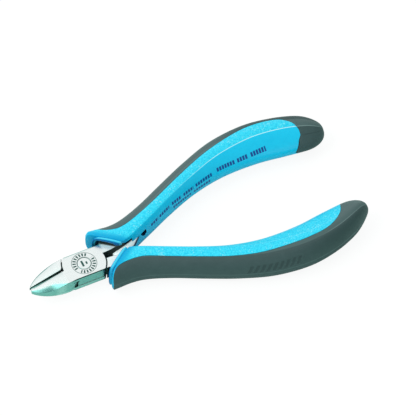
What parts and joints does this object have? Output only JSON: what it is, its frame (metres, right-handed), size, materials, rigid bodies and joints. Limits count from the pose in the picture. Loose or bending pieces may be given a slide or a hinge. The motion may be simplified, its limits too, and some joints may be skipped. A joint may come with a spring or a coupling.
{
  "type": "diagonal cutting pliers",
  "caption": "Small box-joint diagonal cutter with oval jaws, flared two-colour moulded handles and a pair of leaf springs that push the handles apart.",
  "frame": {"origin": "centre of the pivot pin's lower end face, on the joint's axis", "axes": "+X from the jaws towards the handle tails along the middle between the handles, +Y towards the handle of the slotted half, +Z along the joint's axis, out of the stamped face of the head"},
  "size_m": [0.132, 0.0657, 0.0143],
  "materials": {
    "jaw_steel": "fine ground and polished tool steel",
    "pin_steel": "polished flush with the head",
    "spring_steel": "bright rolled spring strip",
    "handle_blue": "sparkle-textured hard plastic, satin on the inner faces",
    "grip_grey": "soft matt overmoulding"
  },
  "bodies": {
    "slotted_side": {"slotted_half": "jaw_steel", "pivot_pin": "pin_steel", "upper_handle_core": "handle_blue", "upper_handle_grip": "grip_grey"},
    "inserted_side": {"inserted_half": "jaw_steel", "lower_handle_core": "handle_blue", "lower_handle_grip": "grip_grey"},
    "upper_spring": {"upper_leaf_spring": "spring_steel"},
    "lower_spring": {"lower_leaf_spring": "spring_steel"}
  },
  "joints": [
    {"name": "pivot", "type": "hinge", "parent": "slotted_side", "child": "inserted_side", "pos_m": [0, 0, 0.00345], "axis": [0, 0, -1], "range_deg": [-2, 16]},
    {"name": "upper_spring_flex", "type": "hinge", "parent": "slotted_side", "child": "upper_spring", "pos_m": [0.0256, 0.0045, 0.00345], "axis": [0, 0, 1], "range_deg": [-1.2, 9]},
    {"name": "lower_spring_flex", "type": "hinge", "parent": "inserted_side", "child": "lower_spring", "pos_m": [0.0256, -0.0045, 0.00345], "axis": [0, 0, -1], "range_deg": [-1.2, 9]}
  ],
  "couplings": [
    {"joint": "upper_spring_flex", "follows": "pivot", "ratio": 0.525},
    {"joint": "lower_spring_flex", "follows": "pivot", "ratio": 0.525}
  ]
}
